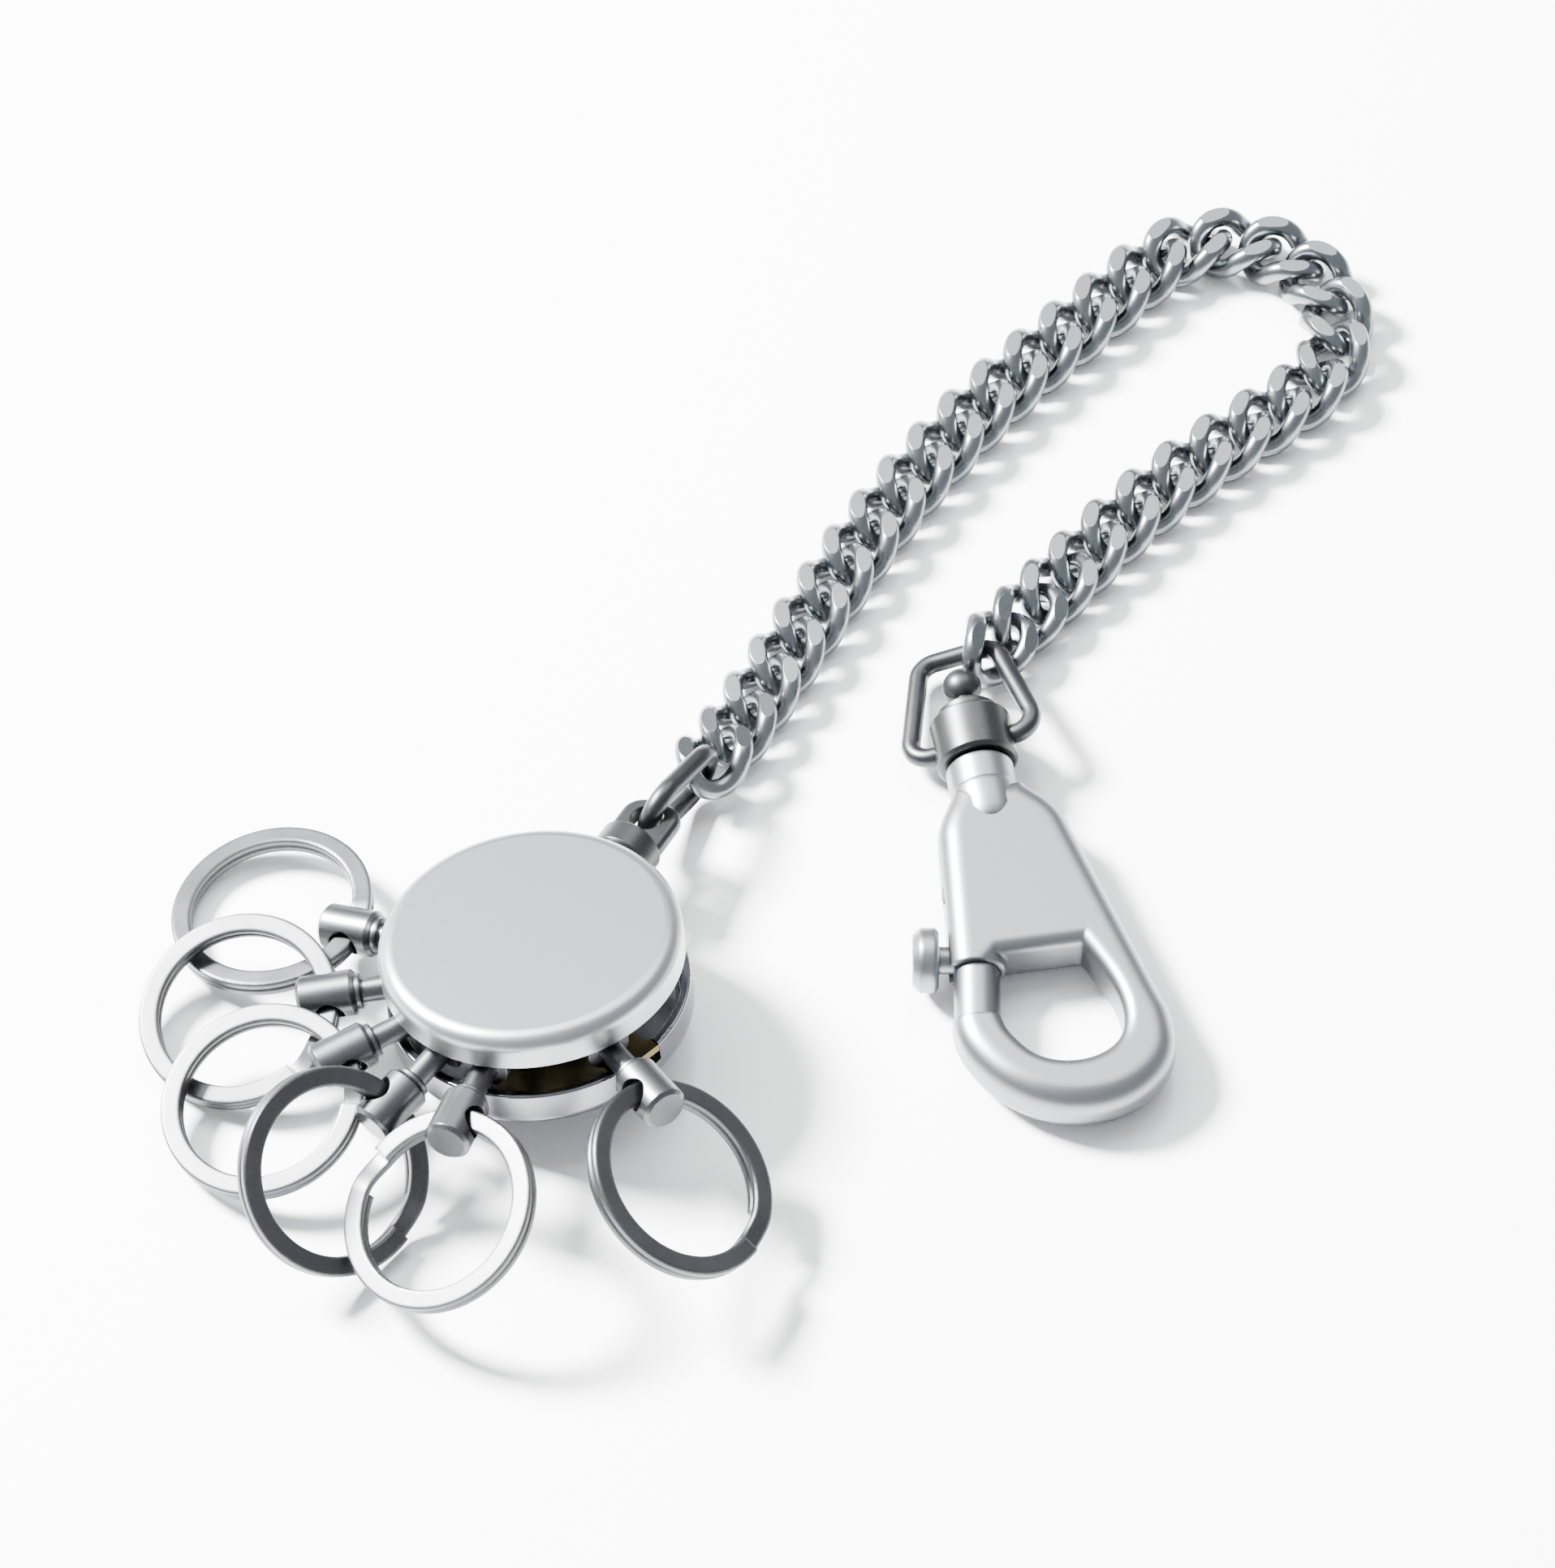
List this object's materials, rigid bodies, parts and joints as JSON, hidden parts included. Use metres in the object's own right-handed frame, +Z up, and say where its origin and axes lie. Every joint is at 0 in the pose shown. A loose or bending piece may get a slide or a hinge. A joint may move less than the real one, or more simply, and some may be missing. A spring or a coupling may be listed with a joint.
{
  "type": "key organiser",
  "caption": "Round key organiser: a lipped case with sliding key carriers on split rings, on a curb chain that ends in a swivelling trigger snap.",
  "frame": {"origin": "middle of the laid-out object, at table height", "axes": "+Z up from the table; the case lies at -X -Y, the chain loops to +X +Y and the snap points to -Y"},
  "size_m": [0.146, 0.1634, 0.0206],
  "materials": {
    "satin_cover": "fine satin",
    "bright_shell": "polished",
    "brass": "polished",
    "carrier_steel": "grained satin",
    "ring_steel": "grained satin",
    "chain_steel": "satin with bright flats",
    "dark_steel": "grained",
    "pearl_chrome": "pearl plated",
    "spring_steel": "bright"
  },
  "bodies": {
    "case": {"top_cover": "satin_cover", "bottom_shell": "bright_shell", "centre_hub": "brass", "hub_screw": "dark_steel", "swivel_pin": "dark_steel", "gate_spring": "spring_steel"},
    "gate": {"release_gate": "brass"},
    "carrier_1": {"key_carrier_1": "carrier_steel"},
    "ring_1": {"split_ring_1": "ring_steel"},
    "carrier_2": {"key_carrier_2": "carrier_steel"},
    "ring_2": {"split_ring_2": "ring_steel"},
    "carrier_3": {"key_carrier_3": "carrier_steel"},
    "ring_3": {"split_ring_3": "ring_steel"},
    "carrier_4": {"key_carrier_4": "carrier_steel"},
    "ring_4": {"split_ring_4": "ring_steel"},
    "carrier_5": {"key_carrier_5": "carrier_steel"},
    "ring_5": {"split_ring_5": "ring_steel"},
    "carrier_6": {"key_carrier_6": "carrier_steel"},
    "ring_6": {"split_ring_6": "ring_steel"},
    "eye": {"swivel_eye": "dark_steel"},
    "joining": {"joining_link": "dark_steel"},
    "link_01": {"chain_link_01": "chain_steel"},
    "link_02": {"chain_link_02": "chain_steel"},
    "link_03": {"chain_link_03": "chain_steel"},
    "link_04": {"chain_link_04": "chain_steel"},
    "link_05": {"chain_link_05": "chain_steel"},
    "link_06": {"chain_link_06": "chain_steel"},
    "link_07": {"chain_link_07": "chain_steel"},
    "link_08": {"chain_link_08": "chain_steel"},
    "link_09": {"chain_link_09": "chain_steel"},
    "link_10": {"chain_link_10": "chain_steel"},
    "link_11": {"chain_link_11": "chain_steel"},
    "link_12": {"chain_link_12": "chain_steel"},
    "link_13": {"chain_link_13": "chain_steel"},
    "link_14": {"chain_link_14": "chain_steel"},
    "link_15": {"chain_link_15": "chain_steel"},
    "link_16": {"chain_link_16": "chain_steel"},
    "link_17": {"chain_link_17": "chain_steel"},
    "link_18": {"chain_link_18": "chain_steel"},
    "link_19": {"chain_link_19": "chain_steel"},
    "link_20": {"chain_link_20": "chain_steel"},
    "link_21": {"chain_link_21": "chain_steel"},
    "link_22": {"chain_link_22": "chain_steel"},
    "link_23": {"chain_link_23": "chain_steel"},
    "link_24": {"chain_link_24": "chain_steel"},
    "link_25": {"chain_link_25": "chain_steel"},
    "link_26": {"chain_link_26": "chain_steel"},
    "link_27": {"chain_link_27": "chain_steel"},
    "link_28": {"chain_link_28": "chain_steel"},
    "link_29": {"chain_link_29": "chain_steel"},
    "link_30": {"chain_link_30": "chain_steel"},
    "link_31": {"chain_link_31": "chain_steel"},
    "link_32": {"chain_link_32": "chain_steel"},
    "bail": {"hook_bail": "dark_steel"},
    "barrel": {"swivel_barrel": "dark_steel"},
    "hook": {"hook_body": "pearl_chrome", "ball_pin": "dark_steel", "bolt_spring": "spring_steel"},
    "bolt": {"hook_bolt": "pearl_chrome", "thumb_knob": "pearl_chrome"}
  },
  "joints": [
    {"name": "gate_press", "type": "slide", "parent": "case", "child": "gate", "axis": [-0.1102, 0.1763, 0.9781], "range_m": [-0.0013, 0], "stiffness_N_per_m": 300, "springref_m": 0.0005, "deforming": ["gate_spring"]},
    {"name": "carrier_1_slide", "type": "hinge", "parent": "case", "child": "carrier_1", "pos_m": [-0.02733, -0.03768, 0.01078], "axis": [-0.1102, 0.1763, 0.9781], "range_deg": [-60, 4]},
    {"name": "ring_1_turn", "type": "hinge", "parent": "carrier_1", "child": "ring_1", "pos_m": [-0.0582, -0.02393, 0.00366], "axis": [-0.1702, 0.0741, 0.9826], "continuous": true},
    {"name": "carrier_2_slide", "type": "hinge", "parent": "case", "child": "carrier_2", "pos_m": [-0.02733, -0.03768, 0.01078], "axis": [-0.1102, 0.1763, 0.9781], "range_deg": [-60, 4]},
    {"name": "ring_2_turn", "type": "hinge", "parent": "carrier_2", "child": "ring_2", "pos_m": [-0.06132, -0.0389, 0.00488], "axis": [-0.2186, -0.1959, 0.9559], "continuous": true},
    {"name": "carrier_3_slide", "type": "hinge", "parent": "case", "child": "carrier_3", "pos_m": [-0.02733, -0.03768, 0.01078], "axis": [-0.1102, 0.1763, 0.9781], "range_deg": [-60, 4]},
    {"name": "ring_3_turn", "type": "hinge", "parent": "carrier_3", "child": "ring_3", "pos_m": [-0.05818, -0.05205, 0.00594], "axis": [-0.2254, -0.1698, 0.9594], "continuous": true},
    {"name": "carrier_4_slide", "type": "hinge", "parent": "case", "child": "carrier_4", "pos_m": [-0.02733, -0.03768, 0.01078], "axis": [-0.1102, 0.1763, 0.9781], "range_deg": [-60, 4]},
    {"name": "ring_4_turn", "type": "hinge", "parent": "carrier_4", "child": "ring_4", "pos_m": [-0.0496, -0.06384, 0.00936], "axis": [0.525, -0.4465, 0.7246], "continuous": true},
    {"name": "carrier_5_slide", "type": "hinge", "parent": "case", "child": "carrier_5", "pos_m": [-0.02733, -0.03768, 0.01078], "axis": [-0.1102, 0.1763, 0.9781], "range_deg": [-60, 4]},
    {"name": "ring_5_turn", "type": "hinge", "parent": "carrier_5", "child": "ring_5", "pos_m": [-0.03751, -0.06993, 0.01063], "axis": [-0.4474, -0.1915, 0.8736], "continuous": true},
    {"name": "carrier_6_slide", "type": "hinge", "parent": "case", "child": "carrier_6", "pos_m": [-0.02733, -0.03768, 0.01078], "axis": [-0.1102, 0.1763, 0.9781], "range_deg": [-4, 56]},
    {"name": "ring_6_swing", "type": "hinge", "parent": "carrier_6", "child": "ring_6", "pos_m": [-0.01411, -0.05724, 0.01534], "axis": [0.7758, 0.4344, -0.4577], "range_deg": [-90, 90]},
    {"name": "eye_turn", "type": "hinge", "parent": "case", "child": "eye", "pos_m": [-0.0182, -0.0209, 0.00878], "axis": [0.4753, 0.8737, -0.104], "continuous": true},
    {"name": "joining_swing", "type": "hinge", "parent": "eye", "child": "joining", "pos_m": [-0.01483, -0.0147, 0.00805], "axis": [-0.8729, 0.4534, -0.1801], "range_deg": [-16, 1]},
    {"name": "link_01_dip", "type": "hinge", "parent": "joining", "child": "link_01", "pos_m": [-0.00885, -0.00513, 0.00514], "axis": [-0.8829, 0.4695, 0], "range_deg": [-4, 4]},
    {"name": "link_02_bend", "type": "hinge", "parent": "link_01", "child": "link_02", "pos_m": [-0.00603, 0.00018, 0.00364], "axis": [0.0572, 0.1076, 0.9925], "range_deg": [-16, 16]},
    {"name": "link_03_dip", "type": "hinge", "parent": "link_02", "child": "link_03", "pos_m": [-0.00314, 0.00561, 0.00288], "axis": [0.8829, -0.4695, 0], "range_deg": [-16, 16]},
    {"name": "link_04_bend", "type": "hinge", "parent": "link_03", "child": "link_04", "pos_m": [-0.00023, 0.01109, 0.00288], "axis": [0, 0, -1], "range_deg": [-16, 16]},
    {"name": "link_05_dip", "type": "hinge", "parent": "link_04", "child": "link_05", "pos_m": [0.00269, 0.01656, 0.00288], "axis": [-0.8829, 0.4695, 0], "range_deg": [-16, 16]},
    {"name": "link_06_bend", "type": "hinge", "parent": "link_05", "child": "link_06", "pos_m": [0.0056, 0.02204, 0.00288], "axis": [0, 0, 1], "range_deg": [-16, 16]},
    {"name": "link_07_dip", "type": "hinge", "parent": "link_06", "child": "link_07", "pos_m": [0.00851, 0.02751, 0.00288], "axis": [0.8634, -0.5045, 0], "range_deg": [-16, 16]},
    {"name": "link_08_bend", "type": "hinge", "parent": "link_07", "child": "link_08", "pos_m": [0.01163, 0.03286, 0.00288], "axis": [0, 0, -1], "range_deg": [-16, 16]},
    {"name": "link_09_dip", "type": "hinge", "parent": "link_08", "child": "link_09", "pos_m": [0.01498, 0.03809, 0.00288], "axis": [-0.8202, 0.5721, 0], "range_deg": [-16, 16]},
    {"name": "link_10_bend", "type": "hinge", "parent": "link_09", "child": "link_10", "pos_m": [0.01852, 0.04317, 0.00288], "axis": [0, 0, 1], "range_deg": [-14, 16]},
    {"name": "link_11_dip", "type": "hinge", "parent": "link_10", "child": "link_11", "pos_m": [0.02227, 0.04811, 0.00288], "axis": [0.7716, -0.6361, 0], "range_deg": [-16, 16]},
    {"name": "link_12_bend", "type": "hinge", "parent": "link_11", "child": "link_12", "pos_m": [0.02621, 0.05289, 0.00288], "axis": [0, 0, -1], "range_deg": [-16, 10]},
    {"name": "link_13_dip", "type": "hinge", "parent": "link_12", "child": "link_13", "pos_m": [0.03035, 0.05752, 0.00288], "axis": [-0.7181, 0.6959, 0], "range_deg": [-16, 16]},
    {"name": "link_14_bend", "type": "hinge", "parent": "link_13", "child": "link_14", "pos_m": [0.03466, 0.06197, 0.00288], "axis": [0, 0, 1], "range_deg": [-8, 16]},
    {"name": "link_15_dip", "type": "hinge", "parent": "link_14", "child": "link_15", "pos_m": [0.03898, 0.06642, 0.00288], "axis": [0.7181, -0.6959, 0], "range_deg": [-16, 16]},
    {"name": "link_16_bend", "type": "hinge", "parent": "link_15", "child": "link_16", "pos_m": [0.04329, 0.07087, 0.00288], "axis": [0, 0, -1], "range_deg": [-16, 6]},
    {"name": "link_17_dip", "type": "hinge", "parent": "link_16", "child": "link_17", "pos_m": [0.04761, 0.07532, 0.00288], "axis": [-0.3404, 0.9403, 0], "range_deg": [-12, 16]},
    {"name": "link_18_bend", "type": "hinge", "parent": "link_17", "child": "link_18", "pos_m": [0.05344, 0.07744, 0.00288], "axis": [0, 0, 1], "range_deg": [-4, 16]},
    {"name": "link_19_dip", "type": "hinge", "parent": "link_18", "child": "link_19", "pos_m": [0.0596, 0.07678, 0.00288], "axis": [-0.5314, -0.8471, 0], "range_deg": [-16, 12]},
    {"name": "link_20_bend", "type": "hinge", "parent": "link_19", "child": "link_20", "pos_m": [0.06485, 0.07348, 0.00288], "axis": [0, 0, -1], "range_deg": [-16, 4]},
    {"name": "link_21_dip", "type": "hinge", "parent": "link_20", "child": "link_21", "pos_m": [0.06813, 0.06822, 0.00288], "axis": [0.9947, 0.1028, 0], "range_deg": [-12, 16]},
    {"name": "link_22_bend", "type": "hinge", "parent": "link_21", "child": "link_22", "pos_m": [0.06877, 0.06205, 0.00288], "axis": [0, 0, 1], "range_deg": [-6, 16]},
    {"name": "link_23_dip", "type": "hinge", "parent": "link_22", "child": "link_23", "pos_m": [0.06664, 0.05623, 0.00288], "axis": [-0.6934, 0.7206, 0], "range_deg": [-16, 12]},
    {"name": "link_24_bend", "type": "hinge", "parent": "link_23", "child": "link_24", "pos_m": [0.06217, 0.05193, 0.00288], "axis": [0, 0, -1], "range_deg": [-16, 8]},
    {"name": "link_25_dip", "type": "hinge", "parent": "link_24", "child": "link_25", "pos_m": [0.05732, 0.04807, 0.00288], "axis": [0.6225, -0.7826, 0], "range_deg": [-16, 16]},
    {"name": "link_26_bend", "type": "hinge", "parent": "link_25", "child": "link_26", "pos_m": [0.05246, 0.04421, 0.00288], "axis": [0, 0, 1], "range_deg": [-10, 16]},
    {"name": "link_27_dip", "type": "hinge", "parent": "link_26", "child": "link_27", "pos_m": [0.04782, 0.0401, 0.00288], "axis": [-0.7009, 0.7133, 0], "range_deg": [-16, 16]},
    {"name": "link_28_bend", "type": "hinge", "parent": "link_27", "child": "link_28", "pos_m": [0.0434, 0.03576, 0.00288], "axis": [0, 0, -1], "range_deg": [-16, 14]},
    {"name": "link_29_dip", "type": "hinge", "parent": "link_28", "child": "link_29", "pos_m": [0.03921, 0.03119, 0.00288], "axis": [0.7716, -0.6361, 0], "range_deg": [-16, 16]},
    {"name": "link_30_bend", "type": "hinge", "parent": "link_29", "child": "link_30", "pos_m": [0.03527, 0.0264, 0.00288], "axis": [0.0326, 0.041, 0.9986], "range_deg": [-16, 16]},
    {"name": "link_31_dip", "type": "hinge", "parent": "link_30", "child": "link_31", "pos_m": [0.03141, 0.02156, 0.00321], "axis": [-0.7934, 0.6088, 0], "range_deg": [-16, 16]},
    {"name": "link_32_bend", "type": "hinge", "parent": "link_31", "child": "link_32", "pos_m": [0.02766, 0.01666, 0.00385], "axis": [-0.0828, -0.1119, -0.9903], "range_deg": [-16, 16]},
    {"name": "bail_dip", "type": "hinge", "parent": "link_32", "child": "bail", "pos_m": [0.02528, 0.01346, 0.00472], "axis": [0.954, 0.1511, 0.2588], "range_deg": [-20, 20]},
    {"name": "barrel_tilt", "type": "hinge", "parent": "bail", "child": "barrel", "pos_m": [0.02319, -0.00136, 0.00523], "axis": [0.954, 0.1511, 0.2588], "range_deg": [-110, 110]},
    {"name": "hook_swivel", "type": "hinge", "parent": "barrel", "child": "hook", "pos_m": [0.02304, -0.00037, 0.00526], "axis": [0.1564, -0.9874, -0.026], "continuous": true},
    {"name": "bolt_slide", "type": "slide", "parent": "hook", "child": "bolt", "axis": [-0.0001, -0.9997, -0.0257], "range_m": [-0.0072, 0], "stiffness_N_per_m": 150, "springref_m": 0.004}
  ],
  "couplings": [
    {"joint": "carrier_2_slide", "follows": "carrier_1_slide", "ratio": 1},
    {"joint": "carrier_3_slide", "follows": "carrier_1_slide", "ratio": 1},
    {"joint": "carrier_4_slide", "follows": "carrier_1_slide", "ratio": 1},
    {"joint": "carrier_5_slide", "follows": "carrier_1_slide", "ratio": 1}
  ]
}
